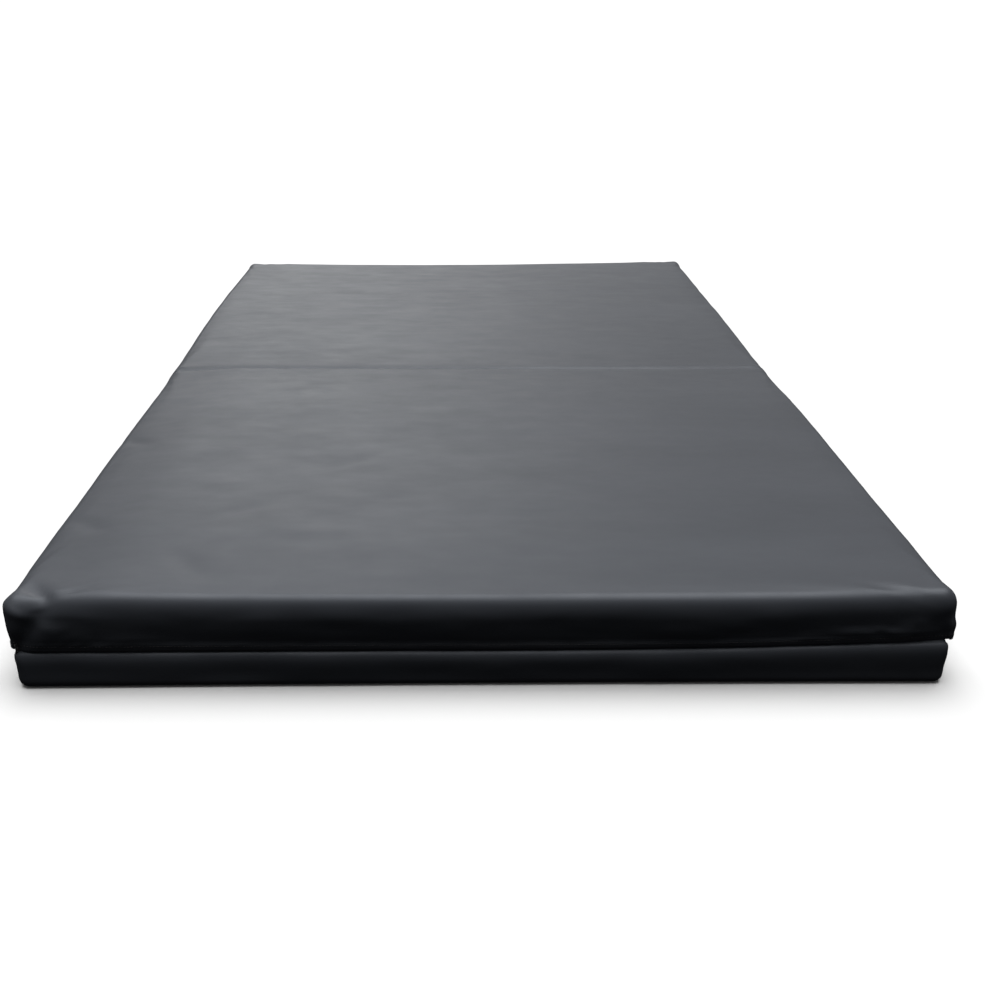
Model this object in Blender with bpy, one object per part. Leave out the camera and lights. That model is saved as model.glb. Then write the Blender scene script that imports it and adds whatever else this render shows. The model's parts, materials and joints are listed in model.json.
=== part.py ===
"""Folding gym mat: two foam panels in zipped vinyl covers, joined by a fabric fold along the top face.

Metres, +Z up. The mat lies flat on Z 0, centred on the origin. Its length runs along Y and its fold lies
along X, at Y 0. Every piece is drawn once, for the panel at -Y. The other panel is the same set of
pieces turned half round about Z, so each panel's zip slider ends up on its own long side.

"Inset" is the distance inwards from the mat's straight outer faces.
"""

import math

import bmesh
import bpy
from mathutils import Vector

# Whole mat
WIDTH = 1.200
LENGTH = 2.000
COVER_TOP = 0.119
CORNER_RADIUS = 0.018
CORNER_STEPS = 8
HINGE_HEIGHT = 0.1215
TOUCHING_GAP = 0.0003
SMOOTH_ANGLE = math.radians(35)
FOLD_HALF_GAP = 0.0005

# Cover sheets
VINYL = 0.001
TOP_ROLL = 0.015
ROLL_STEPS = 8
HEM_HEIGHT = 0.047
BAND_INSET = 0.003
BAND_ROLL = 0.010
BAND_STRAIGHT_TOP = 0.031
BAND_SHOULDER = ((0.0040, 0.0370), (0.0063, 0.0430), (0.0070, 0.0465), (0.0072, 0.0500))
FOLD_TAPE = 0.0008
FOLD_TAPE_REACH = 0.030
FOLD_TAPE_SIDE_INSET = 0.020

# Zip
ZIP_INSET = 0.009
ZIP_HEIGHT = 0.059
ZIP_TAPE = 0.0006
TEETH_GAP = 0.0016
TEETH_HEIGHT = 0.0024
TEETH_THICKNESS = 0.0024
LOWER_TAPE_FOOT = 0.0435
UPPER_TAPE_BEND = 0.0675
UPPER_TAPE_SKIRT = 0.0770
UPPER_TAPE_TOP = 0.0840
TAPE_END = 0.003
STOP_LENGTH = 0.004
STOP_START = 0.010
STOP_THICKNESS = 0.0034
SLIDER_START = 0.0245

# Slider: it runs on both rows of teeth, between an outer and an inner plate
PLATE_CLEAR = 0.0005
PLATE = 0.0014
SLIDER_LENGTH = 0.0150
SLIDER_TAIL_WIDTH = 0.0096
SLIDER_NOSE_WIDTH = 0.0116
NECK_WIDTH = 0.0010
NECK_LENGTH = 0.0035
FLANGE_START = 0.0036
FLANGE_WIDTH = 0.0012
FLANGE_TAPE_CLEAR = 0.0004
BRIDGE_HALF_LENGTH = 0.0048
BRIDGE_LEG = 0.0012
BRIDGE_WIDTH = 0.0016
BRIDGE_RISE = 0.0030
BRIDGE_SPAN = 0.0010

# Pull tab, in the slider's bridge
PULL_THICKNESS = 0.0012
PULL_LENGTH = 0.026
PULL_HALF_WIDTH = 0.0048
PULL_TIP_HALF_WIDTH = 0.0036
PULL_BAR = 0.0007
PULL_WINDOW_END = 0.0066
PULL_WINDOW_HALF = 0.0034
PULL_HANG = math.radians(30)

FOAM_TOP = COVER_TOP - VINYL - TOUCHING_GAP
FOAM_BASE = VINYL + TOUCHING_GAP
FOAM_END = FOLD_HALF_GAP + VINYL + 0.001
FOAM_ZIP_INSET = 0.0130

COLOURS = {
    "vinyl": ((0.012, 0.012, 0.014), 0.46, 0.0),
    "base_vinyl": ((0.014, 0.014, 0.015), 0.75, 0.0),
    "foam": ((0.20, 0.22, 0.24), 0.95, 0.0),
    "webbing": ((0.015, 0.015, 0.016), 0.85, 0.0),
    "zip_tape": ((0.010, 0.010, 0.011), 0.85, 0.0),
    "zip_teeth": ((0.020, 0.020, 0.022), 0.35, 0.0),
    "zip_metal": ((0.030, 0.030, 0.032), 0.38, 0.9),
}


def clear_scene():
    for obj in list(bpy.data.objects):
        bpy.data.objects.remove(obj)


def material(name):
    """A Principled material from the colour table, made once."""
    if name in bpy.data.materials:
        return bpy.data.materials[name]
    colour, roughness, metallic = COLOURS[name]
    made = bpy.data.materials.new(name)
    made.use_nodes = True
    shader = made.node_tree.nodes["Principled BSDF"]
    shader.inputs["Base Color"].default_value = (*colour, 1.0)
    shader.inputs["Roughness"].default_value = roughness
    shader.inputs["Metallic"].default_value = metallic
    return made


def object_from_bmesh(name, bm, look=None, smooth=False):
    """An object with the bmesh's faces, and the named material if it is part of the model."""
    mesh = bpy.data.meshes.new(name)
    bm.to_mesh(mesh)
    bm.free()
    if smooth:
        mesh.shade_smooth()
        mesh.set_sharp_from_angle(angle=SMOOTH_ANGLE)
    if look:
        mesh.materials.append(material(look))
    obj = bpy.data.objects.new(name, mesh)
    bpy.context.scene.collection.objects.link(obj)
    return obj


def empty(name, location, parent=None):
    obj = bpy.data.objects.new(name, None)
    bpy.context.scene.collection.objects.link(obj)
    obj.location = location
    obj.parent = parent
    return obj


def hang_on(parent, obj):
    """Parents obj and keeps it where it is drawn, for a parent that isn't turned yet."""
    obj.parent = parent
    obj.matrix_parent_inverse.identity()
    obj.location -= parent_place(parent)
    return obj


def parent_place(obj):
    place = Vector((0, 0, 0))
    while obj is not None:
        place += obj.location
        obj = obj.parent
    return place


def side_path(inset, end):
    """(x, y) points round the panel's three outer sides: down the +X side from y = -end, round the front
    corners and back up the -X side."""
    radius = CORNER_RADIUS - inset
    centre_x = WIDTH / 2 - CORNER_RADIUS
    centre_y = CORNER_RADIUS - LENGTH / 2
    right = [(WIDTH / 2 - inset, -end)]
    for step in range(CORNER_STEPS + 1):
        angle = -math.pi / 2 * step / CORNER_STEPS
        right.append((centre_x + radius * math.cos(angle), centre_y + radius * math.sin(angle)))
    left = [(-x, y) for x, y in reversed(right)]
    return right + left


def rows_of(bm, profile, end):
    """One row of vertices round the three sides for each (inset, z) of the profile."""
    return [[bm.verts.new((x, y, z)) for x, y in side_path(inset, end)] for inset, z in profile]


def skin_rows(bm, rows):
    """Faces between rows that climb the outside of the mat, pointing outwards."""
    for low, high in zip(rows, rows[1:]):
        for i in range(len(low) - 1):
            bm.faces.new((low[i], high[i], high[i + 1], low[i + 1]))


def solidified(obj, thickness):
    """The sheet's drawn surface is its outer face, and the thickness grows inwards."""
    grow = obj.modifiers.new("Thickness", "SOLIDIFY")
    grow.thickness = thickness
    grow.offset = -1
    grow.use_even_offset = True
    grow.use_quality_normals = True
    return obj


def bar_round(name, profile, end, look):
    """A closed (inset, z) profile, drawn anticlockwise, carried round the three sides and capped."""
    bm = bmesh.new()
    rows = rows_of(bm, profile, end)
    skin_rows(bm, rows + rows[:1])
    for column in (0, -1):
        bm.faces.new([row[column] for row in rows])
    bmesh.ops.recalc_face_normals(bm, faces=bm.faces)
    return object_from_bmesh(name, bm, look, smooth=True)


def block_of_rows(name, profile, end, look):
    """A solid that fills the panel's plan, with the (inset, z) profile on its three outer sides."""
    bm = bmesh.new()
    rows = rows_of(bm, profile, end)
    skin_rows(bm, rows)
    for low, high in zip(rows, rows[1:]):
        bm.faces.new((low[0], low[-1], high[-1], high[0]))
    bm.faces.new(rows[0])
    bm.faces.new(rows[-1])
    bmesh.ops.recalc_face_normals(bm, faces=bm.faces)
    return object_from_bmesh(name, bm, look, smooth=True)


def plate(name, outline, low, high, look=None, normal="z"):
    """An outline of 2-D points extruded between low and high along one axis."""
    place = {
        "x": lambda a, b, depth: (depth, a, b),
        "y": lambda a, b, depth: (a, depth, b),
        "z": lambda a, b, depth: (a, b, depth),
    }[normal]
    bm = bmesh.new()
    face = bm.faces.new([bm.verts.new(place(a, b, low)) for a, b in outline])
    grown = bmesh.ops.extrude_face_region(bm, geom=[face])["geom"]
    shift = Vector(place(0, 0, high - low))
    bmesh.ops.translate(bm, verts=[v for v in grown if isinstance(v, bmesh.types.BMVert)], vec=shift)
    bmesh.ops.recalc_face_normals(bm, faces=bm.faces)
    return object_from_bmesh(name, bm, look)


def box(name, low, high, look=None):
    outline = ((low[0], low[1]), (high[0], low[1]), (high[0], high[1]), (low[0], high[1]))
    return plate(name, outline, low[2], high[2], look)


def combine(obj, operation, other):
    """A Boolean with a helper object, which stays out of the model itself."""
    cut = obj.modifiers.new(other.name, "BOOLEAN")
    cut.operation = operation
    cut.object = other
    other.hide_render = True
    other.display_type = "WIRE"
    hang_on(obj, other)
    return obj


def quarter_turn(inset, height, radius, from_side, steps):
    """(inset, z) points of a quarter round. From the side it climbs to the top face. Otherwise it climbs
    from the underside to the side."""
    points = []
    for step in range(steps + 1):
        angle = math.pi / 2 * step / steps
        if from_side:
            points.append((inset + radius * (1 - math.cos(angle)), height - radius * (1 - math.sin(angle))))
        else:
            points.append((inset + radius * (1 - math.sin(angle)), height + radius * (1 - math.cos(angle))))
    return points


def strip_profile(line, thickness):
    """A closed profile round a line of (inset, z) points, climbing, with half the thickness on each side."""
    half = thickness / 2
    outer = [(inset - half, z) for inset, z in line]
    inner = [(inset + half, z) for inset, z in line]
    return outer + inner[::-1]


def foam_core(tag):
    roll = quarter_turn(VINYL + 0.0004, FOAM_TOP, TOP_ROLL - VINYL - 0.0004, True, ROLL_STEPS)
    profile = [
        (0.0120, FOAM_BASE),
        (0.0070, 0.0040),
        (BAND_INSET + VINYL + 0.0004, 0.0100),
        (BAND_INSET + VINYL + 0.0004, BAND_STRAIGHT_TOP - 0.001),
        (FOAM_ZIP_INSET, 0.0410),
        (FOAM_ZIP_INSET, UPPER_TAPE_BEND + 0.0010),
        (0.0030, UPPER_TAPE_TOP + 0.0020),
    ] + roll
    foam = block_of_rows(f"foam_core_{tag}", profile, FOAM_END, "foam")
    rebate_depth = FOLD_TAPE + 2 * TOUCHING_GAP
    rebate = box(
        f"fold_tape_rebate_{tag}",
        (-WIDTH / 2, -FOLD_TAPE_REACH - TOUCHING_GAP, FOAM_TOP - rebate_depth),
        (WIDTH / 2, 0.010, COVER_TOP),
    )
    return combine(foam, "DIFFERENCE", rebate)


def top_cover(tag):
    """One sheet: the top face and three skirts, whose lower hem hides the zip."""
    profile = [(0, HEM_HEIGHT), (0, UPPER_TAPE_TOP)] + quarter_turn(0, COVER_TOP, TOP_ROLL, True, ROLL_STEPS)
    bm = bmesh.new()
    rows = rows_of(bm, profile, FOLD_HALF_GAP)
    skin_rows(bm, rows)
    bm.faces.new(rows[-1][::-1])
    sheet = object_from_bmesh(f"top_cover_{tag}", bm, "vinyl", smooth=True)
    return solidified(sheet, VINYL)


def side_band(tag):
    """The lower side of the cover, from the seam under the mat to the lower zip tape."""
    profile = quarter_turn(BAND_INSET, 0, BAND_ROLL, False, ROLL_STEPS)
    profile += [(BAND_INSET, BAND_STRAIGHT_TOP), *BAND_SHOULDER]
    bm = bmesh.new()
    skin_rows(bm, rows_of(bm, profile, FOLD_HALF_GAP))
    sheet = object_from_bmesh(f"side_band_{tag}", bm, "vinyl", smooth=True)
    return solidified(sheet, VINYL)


def base_sheet(tag):
    inset = BAND_INSET + BAND_ROLL + TOUCHING_GAP
    return plate(f"base_sheet_{tag}", side_path(inset, FOLD_HALF_GAP), 0, VINYL, "base_vinyl")


def fold_wall(tag):
    """The end wall that faces the other panel, inside the skirts and the side band."""
    inside = VINYL + TOUCHING_GAP
    half_outline = [(BAND_INSET + BAND_ROLL, FOAM_BASE)]
    half_outline += [(BAND_INSET + inside, BAND_ROLL + 0.001), (BAND_INSET + inside, BAND_STRAIGHT_TOP)]
    half_outline += [(inset + inside + 0.0003, z) for inset, z in BAND_SHOULDER]
    half_outline += [(inside, BAND_SHOULDER[-1][1] + 0.002)]
    half_outline += quarter_turn(inside, FOAM_TOP, TOP_ROLL - inside, True, ROLL_STEPS)
    right = [(WIDTH / 2 - inset, z) for inset, z in half_outline]
    left = [(-x, z) for x, z in reversed(right)]
    return plate(f"fold_wall_{tag}", right + left, -FOLD_HALF_GAP - VINYL, -FOLD_HALF_GAP, "vinyl", "y")


def fold_tape(tag):
    """Half of the webbing that backs the top sheet across the fold."""
    side = WIDTH / 2 - FOLD_TAPE_SIDE_INSET
    top = FOAM_TOP
    near = FOLD_HALF_GAP + VINYL + TOUCHING_GAP
    return box(f"fold_tape_{tag}", (-side, -FOLD_TAPE_REACH, top - FOLD_TAPE), (side, -near, top), "webbing")


def zip_tapes(tag):
    row_edge = TEETH_GAP / 2 + TEETH_HEIGHT + TOUCHING_GAP
    skirt_inset = VINYL + TOUCHING_GAP + ZIP_TAPE / 2
    upper = [
        (ZIP_INSET, ZIP_HEIGHT + row_edge),
        (ZIP_INSET, UPPER_TAPE_BEND),
        (skirt_inset, UPPER_TAPE_SKIRT),
        (skirt_inset, UPPER_TAPE_TOP),
    ]
    lower = [(ZIP_INSET, LOWER_TAPE_FOOT), (ZIP_INSET, ZIP_HEIGHT - row_edge)]
    return [
        bar_round(f"zip_tape_upper_{tag}", strip_profile(upper, ZIP_TAPE), TAPE_END, "zip_tape"),
        bar_round(f"zip_tape_lower_{tag}", strip_profile(lower, ZIP_TAPE), TAPE_END, "zip_tape"),
    ]


def zip_teeth(tag):
    """Each row of teeth as the rail that the slider runs on."""
    end = STOP_START + STOP_LENGTH + TOUCHING_GAP
    made = []
    for name, side in (("upper", 1), ("lower", -1)):
        near = ZIP_HEIGHT + side * TEETH_GAP / 2
        far = near + side * TEETH_HEIGHT
        line = [(ZIP_INSET, min(near, far)), (ZIP_INSET, max(near, far))]
        made.append(bar_round(f"zip_teeth_{name}_{tag}", strip_profile(line, TEETH_THICKNESS), end, "zip_teeth"))
    return made


def zip_stops(tag):
    """The top stop ends the zip beside the parked slider, and the bottom stop ends it on the other side."""
    reach = TEETH_GAP / 2 + TEETH_HEIGHT
    half = STOP_THICKNESS / 2
    made = []
    for name, side in (("top", 1), ("bottom", -1)):
        centre = side * (WIDTH / 2 - ZIP_INSET)
        low = (centre - half, -STOP_START - STOP_LENGTH, ZIP_HEIGHT - reach)
        high = (centre + half, -STOP_START, ZIP_HEIGHT + reach)
        made.append(box(f"zip_{name}_stop_{tag}", low, high, "zip_metal"))
    return made


def mirrored_in_v(half_outline):
    """Closes an outline drawn for +Z over Z 0."""
    return list(half_outline) + [(u, -v) for u, v in reversed(half_outline)]


def zip_slider(tag):
    """Drawn about the slider's middle: +X is outwards, +Y points to the nose and the top stop."""
    outer_face = TEETH_THICKNESS / 2 + PLATE_CLEAR
    half = SLIDER_LENGTH / 2
    outline = mirrored_in_v(
        [
            (-half, SLIDER_TAIL_WIDTH / 2 - 0.001),
            (-half + 0.001, SLIDER_TAIL_WIDTH / 2),
            (0, SLIDER_TAIL_WIDTH / 2),
            (half * 0.6, SLIDER_NOSE_WIDTH / 2),
            (half - 0.0015, SLIDER_NOSE_WIDTH / 2),
            (half, SLIDER_NOSE_WIDTH / 2 - 0.0015),
        ]
    )
    slider = plate(f"zip_slider_{tag}", outline, outer_face, outer_face + PLATE, "zip_metal", "x")
    inner = plate(f"slider_inner_{tag}", outline, -outer_face - PLATE, -outer_face, normal="x")
    reach = outer_face + PLATE / 2
    neck = box(
        f"slider_neck_{tag}",
        (-reach, half - NECK_LENGTH, -NECK_WIDTH / 2),
        (reach, half - 0.0003, NECK_WIDTH / 2),
    )
    helpers = [inner, neck]
    tape_clear = ZIP_TAPE / 2 + FLANGE_TAPE_CLEAR
    flange_end = half - 0.0008
    for across in (1, -1):
        for face in (1, -1):
            depth = sorted((face * tape_clear, face * reach))
            height = sorted((across * FLANGE_START, across * (FLANGE_START + FLANGE_WIDTH)))
            name = f"slider_flange_{across}_{face}_{tag}"
            helpers.append(box(name, (depth[0], -flange_end, height[0]), (depth[1], flange_end, height[1])))
    bridge_base = outer_face + PLATE
    bridge_top = bridge_base + BRIDGE_RISE
    for end in (1, -1):
        along = sorted((end * BRIDGE_HALF_LENGTH, end * (BRIDGE_HALF_LENGTH - BRIDGE_LEG)))
        leg_low = (bridge_base - PLATE / 2, along[0], -BRIDGE_WIDTH / 2)
        leg_high = (bridge_top - BRIDGE_SPAN / 2, along[1], BRIDGE_WIDTH / 2)
        helpers.append(box(f"bridge_leg_{end}_{tag}", leg_low, leg_high))
    span_low = (bridge_top - BRIDGE_SPAN, -BRIDGE_HALF_LENGTH - 0.0002, -BRIDGE_WIDTH / 2 - 0.0002)
    span_high = (bridge_top, BRIDGE_HALF_LENGTH + 0.0002, BRIDGE_WIDTH / 2 + 0.0002)
    helpers.append(box(f"bridge_span_{tag}", span_low, span_high))
    for helper in helpers:
        combine(slider, "UNION", helper)
    slider.location = (WIDTH / 2 - ZIP_INSET, -SLIDER_START, ZIP_HEIGHT)
    return slider


def zip_pull(tag):
    """Drawn about its bar, which turns inside the slider's bridge. The tab points to -Y and hangs down."""
    outline = mirrored_in_v(
        [
            (PULL_BAR, PULL_HALF_WIDTH - 0.001),
            (PULL_BAR - 0.001, PULL_HALF_WIDTH),
            (-PULL_WINDOW_END, PULL_HALF_WIDTH),
            (-PULL_WINDOW_END - 0.004, PULL_TIP_HALF_WIDTH),
            (-PULL_LENGTH + 0.002, PULL_TIP_HALF_WIDTH),
            (-PULL_LENGTH, PULL_TIP_HALF_WIDTH - 0.002),
        ]
    )
    half = PULL_THICKNESS / 2
    pull = plate(f"zip_pull_{tag}", outline, -half, half, "zip_metal", "x")
    window = box(
        f"pull_window_{tag}",
        (-2 * half, -PULL_WINDOW_END, -PULL_WINDOW_HALF),
        (2 * half, -PULL_BAR, PULL_WINDOW_HALF),
    )
    combine(pull, "DIFFERENCE", window)
    bridge_base = TEETH_THICKNESS / 2 + PLATE_CLEAR + PLATE
    bar_height = bridge_base + (BRIDGE_RISE - BRIDGE_SPAN) / 2
    pull.location = (WIDTH / 2 - ZIP_INSET + bar_height, -SLIDER_START, ZIP_HEIGHT)
    pull.rotation_euler.x = PULL_HANG
    return pull


def build_panel(tag, half_turn):
    """All the pieces of one panel, hung on an empty at the fold's axis."""
    panel = empty(f"{tag}_panel", (0, 0, HINGE_HEIGHT))
    fixed = [foam_core(tag), top_cover(tag), side_band(tag), base_sheet(tag), fold_wall(tag), fold_tape(tag)]
    fixed += zip_tapes(tag) + zip_teeth(tag) + zip_stops(tag)
    for piece in fixed:
        hang_on(panel, piece)
    slider = zip_slider(tag)
    pull = zip_pull(tag)
    runner = empty(f"{tag}_zip_runner", slider.location - panel.location, panel)
    hang_on(runner, slider)
    hang_on(runner, pull)
    if half_turn:
        panel.rotation_euler.z = math.pi
    return panel


clear_scene()
build_panel("front", half_turn=False)
build_panel("rear", half_turn=True)
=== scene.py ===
"""Folding gym mat: the padded vinyl cover, its seams, stitches, zips and foam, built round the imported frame.

Every sheet of the cover is made from the same columns round a panel's three outer sides. A column is a
point on the mat's straight-sided outline and the direction straight out of it. A sheet is then a list of
(inset, z) points, carried round those columns. soften() bends all of them alike, from the frame's straight
box to the mat's soft shape, so neighbouring sheets still meet. Sizes are in metres.
"""

import json
import math

import bpy
import numpy as np
from mathutils import Matrix, Vector, bvhtree, noise


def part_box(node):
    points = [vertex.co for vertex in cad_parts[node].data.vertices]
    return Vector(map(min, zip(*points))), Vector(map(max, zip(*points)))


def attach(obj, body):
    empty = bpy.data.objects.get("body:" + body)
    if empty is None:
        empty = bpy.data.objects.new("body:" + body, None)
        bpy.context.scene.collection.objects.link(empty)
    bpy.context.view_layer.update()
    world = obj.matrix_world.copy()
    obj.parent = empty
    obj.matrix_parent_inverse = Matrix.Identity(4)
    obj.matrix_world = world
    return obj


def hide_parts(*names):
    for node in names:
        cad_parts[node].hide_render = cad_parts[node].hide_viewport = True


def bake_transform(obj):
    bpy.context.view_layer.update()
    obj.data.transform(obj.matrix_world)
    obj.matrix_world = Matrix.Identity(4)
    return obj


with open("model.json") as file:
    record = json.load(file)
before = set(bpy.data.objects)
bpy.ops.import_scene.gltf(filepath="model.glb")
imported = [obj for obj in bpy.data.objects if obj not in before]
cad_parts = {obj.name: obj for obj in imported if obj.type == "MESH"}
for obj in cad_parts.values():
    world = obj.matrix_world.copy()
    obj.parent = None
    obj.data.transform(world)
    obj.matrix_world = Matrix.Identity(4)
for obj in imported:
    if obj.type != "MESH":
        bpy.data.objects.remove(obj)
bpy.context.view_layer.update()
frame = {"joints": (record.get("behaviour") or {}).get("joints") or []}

# Sizes from the frame
COVER_LOW, COVER_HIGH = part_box("top_cover_front")
HALF_WIDTH = COVER_HIGH.x
HALF_LENGTH = -COVER_LOW.y
TOP = COVER_HIGH.z
HEM = COVER_LOW.z
BAND_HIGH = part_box("side_band_front")[1]
BAND_INSET = HALF_WIDTH - BAND_HIGH.x
BAND_TOP = BAND_HIGH.z
BASE_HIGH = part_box("base_sheet_front")[1]
BASE_INSET = HALF_WIDTH - BASE_HIGH.x
TEETH_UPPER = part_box("zip_teeth_upper_front")
TEETH_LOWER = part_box("zip_teeth_lower_front")
FOLD = next(j for j in frame["joints"] if j["name"] == "fold")
HINGE_HEIGHT = FOLD["pos_m"][2]

# Sizes of the soft cover
VINYL = 0.001
CORNER_RADIUS = 0.018
TOP_ROLL = 0.026
ROLL_LINES = 7
ACROSS_SPACING = 0.012
ALONG_SPACING = 0.0085
EDGE_REACH = 0.096
EDGE_SPACING = 0.006
FOLD_HALF_WIDTH = 0.00045
FOLD_OFFSETS = (0.00015, 0.0003, 0.00045, 0.0016, 0.0034, 0.006, 0.0095, 0.014, 0.019, 0.025)

HEM_FOLD = 0.010
HEM_STEP = 0.0005
SKIRT_ROWS = 7

# Sizes of the pieces inside
FOAM_LOW, FOAM_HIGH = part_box("foam_core_front")
FOAM_TOP = FOAM_HIGH.z - 0.0022
FOAM_FOOT = FOAM_LOW.z
FOAM_END = -FOAM_HIGH.y
WALL_LOW, WALL_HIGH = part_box("fold_wall_front")
WALL_FACE = -WALL_HIGH.y
WALL_FOOT = WALL_LOW.z
WALL_TOP = WALL_HIGH.z - 0.0028
TAPE_LOW, TAPE_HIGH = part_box("fold_tape_front")
TAPE_THICKNESS = TAPE_HIGH.z - TAPE_LOW.z

# Sizes of the zip
TEETH_HEIGHT = TEETH_LOWER[1].z - TEETH_LOWER[0].z
TEETH_THICKNESS = 0.0024
ZIP_INSET = HALF_WIDTH - TEETH_UPPER[1].x + TEETH_THICKNESS / 2
TEETH_START = 0.0145
TOOTH_PITCH = 0.0025
ZIP_TAPE = 0.0006
ZIP_CLEAR_X = 0.5935
FOAM_CLEAR_X = 0.5862
ZIP_CLEAR_START = 0.0435
ZIP_CLEAR_Z = 0.0522
UPPER_TAPE_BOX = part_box("zip_tape_upper_front")
LOWER_TAPE_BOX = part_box("zip_tape_lower_front")

PANELS = {"front": -1, "rear": 1}


# ---------------------------------------------------------------- shape of the mat


def smooth(low, high, value):
    """0 below low, 1 above high, and a smooth step between."""
    t = np.clip((value - low) / (high - low), 0, 1)
    return t * t * (3 - 2 * t)


def hump(value, centre, width):
    return np.exp(-(((value - centre) / width) ** 2))


# How far each corner of the mat has settled away from the straight box: the top corner in x, y and z, and
# the foot in x and y. Keys are the signs of x and y.
CORNER_SHIFTS = {
    (-1, -1): ((-0.003, 0.016, 0.008), (0.0045, 0.0025)),
    (1, -1): ((0.0015, 0.006, 0.0070), (-0.0005, -0.003)),
    (-1, 1): ((0.0025, -0.0035, -0.002), (0.0, 0.0)),
    (1, 1): ((-0.0075, 0.0095, 0.0085), (0.0, 0.0)),
}
# How far the middle of each long side stands out, by the signs of x and y
SIDE_BOWS = {(-1, -1): 0.0015, (-1, 1): 0.0065, (1, -1): 0.001, (1, 1): 0.0015}
# How far the middle of each end moves along Y, by the sign of y
END_BOWS = {-1: 0.0025, 1: -0.001}
# How far each side's upper edge moves along X at the fold, by the sign of x
FOLD_PINCH = {-1: -0.0035, 1: 0.001}
FOLD_PINCH_REACH = 0.12
# The front's upper edge leans out and sags between the corners, and the rear one sags
SHOULDER_OUT = 0.0065
SHOULDER_SAG = 0.0066
REAR_SAG = 0.0055
# The top swells towards the rear and the right
CROWN_RISE = 0.0080
CROWN_BASE = 0.0052
CROWN_RIGHT = 0.0003
# The sides stand out by the hem, by the sign of x, and the front stands in
WAIST_OUT = {-1: -0.003, 1: 0.0045}
WAIST_IN = 0.003
WAIST_WIDTH = 0.018
# The right front corner stays upright above the hem
CORNER_OUT = 0.005
CORNER_HEIGHT = 0.071
CORNER_WIDTH = 0.015
HEM_RISE = 0.0115
HEM_RISE_FADE = 0.045


def soften(points):
    """Bends points of the frame's straight box to the mat's soft shape."""
    p = np.array(points, float).reshape(-1, 3)
    x, y, z = p.T
    across = np.clip(x / HALF_WIDTH, -1, 1)
    along = np.clip(y / HALF_LENGTH, -1, 1)
    height = np.clip(z / TOP, 0, 1)
    away = smooth(0, 0.3, np.abs(along))
    moved = np.zeros_like(p)
    for (sx, sy), (top, foot) in CORNER_SHIFTS.items():
        share = (1 + sx * across) / 2 * (1 + sy * along) / 2
        moved[:, 0] += share * (height * top[0] + (1 - height) * foot[0])
        moved[:, 1] += share * (height * top[1] + (1 - height) * foot[1]) * away
        moved[:, 2] += share * height * top[2] * away
    sides = {-1: smooth(0.3, 1, -across), 1: smooth(0.3, 1, across)}
    ends = {-1: smooth(0.4, 1, -along), 1: smooth(0.4, 1, along)}
    halves = {-1: y < 0, 1: y >= 0}
    bowed = np.sin(math.pi * np.abs(along)) * (0.4 + 0.6 * height)
    for (sx, sy), bow in SIDE_BOWS.items():
        moved[:, 0] += sx * sides[sx] * halves[sy] * bow * bowed
    high = smooth(0.5, 0.95, height)
    pinch = FOLD_PINCH[1] * sides[1] + FOLD_PINCH[-1] * sides[-1]
    moved[:, 0] += pinch * hump(along, 0, FOLD_PINCH_REACH) * high
    middle = np.cos(across * math.pi / 2)
    moved[:, 1] += (END_BOWS[-1] * ends[-1] + END_BOWS[1] * ends[1]) * middle
    shoulder = (1 - across**4) * smooth(0.45, 0.9, height) * smooth(0.8, 0.98, -along)
    moved[:, 1] -= SHOULDER_OUT * shoulder
    moved[:, 2] -= SHOULDER_SAG * shoulder
    moved[:, 2] -= REAR_SAG * ends[1] * middle * height
    crown = (CROWN_RISE * smooth(0, 0.25, 1 + across) - CROWN_BASE) * smooth(-0.35, 0.1, -along)
    crown += CROWN_RIGHT * smooth(0, 0.3, 1 - across) * away
    moved[:, 2] += crown * smooth(0.75, 1, height)
    waist = hump(z, HEM, WAIST_WIDTH)
    moved[:, 0] += (WAIST_OUT[1] * sides[1] + WAIST_OUT[-1] * sides[-1]) * waist
    moved[:, 1] += WAIST_IN * ends[-1] * waist
    moved[:, 0] += CORNER_OUT * sides[1] * ends[-1] * hump(z, CORNER_HEIGHT, CORNER_WIDTH)
    return p + moved


def hem_lift(points):
    """How far the front hem rises towards its right end."""
    x, y, z = points.T
    rightness = x / HALF_WIDTH
    near = smooth(0.972, 0.995, -y / HALF_LENGTH) * smooth(0, 1, rightness) * np.clip(rightness, 0, 1)
    return HEM_RISE * near * (1 - smooth(HEM, HEM + HEM_RISE_FADE, z))


def outward(points):
    """Directions straight out of the straight box with rolled edges."""
    core = np.array([HALF_WIDTH, HALF_LENGTH, TOP]) - (CORNER_RADIUS, CORNER_RADIUS, TOP_ROLL)
    out = points - np.clip(points, (-core[0], -core[1], -1.0), core)
    radius = np.array([CORNER_RADIUS, CORNER_RADIUS, TOP_ROLL])
    out /= radius
    length = np.linalg.norm(out, axis=1, keepdims=True)
    return np.where(length > 1e-6, out / np.maximum(length, 1e-9), (0.0, 0.0, 1.0))


# Depths and half-widths of the fold's sharp groove and of the soft valley that it lies in
FOLD_GROOVE = (0.0022, 0.003)
FOLD_HOLLOW = (0.0010, 0.018)
FOLD_FADE = 0.6
# The crease that packing left across the rear panel: its y at the middle, its slope, depths and half-widths
CREASE_Y = 0.631
CREASE_SLOPE = 0.059
CREASE_GROOVE = (0.0004, 0.005)
CREASE_HOLLOW = (0.0006, 0.025)


def valley_across(line, groove, hollow):
    return groove[0] * hump(line, 0, groove[1]) + hollow[0] * hump(line, 0, hollow[1])


def fold_valley(x, y):
    """How far the top sheet dips at the fold. The dip fades towards the right."""
    fade = 1 - FOLD_FADE * smooth(0.1, 0.55, x)
    return fade * valley_across(y, FOLD_GROOVE, FOLD_HOLLOW)


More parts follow.
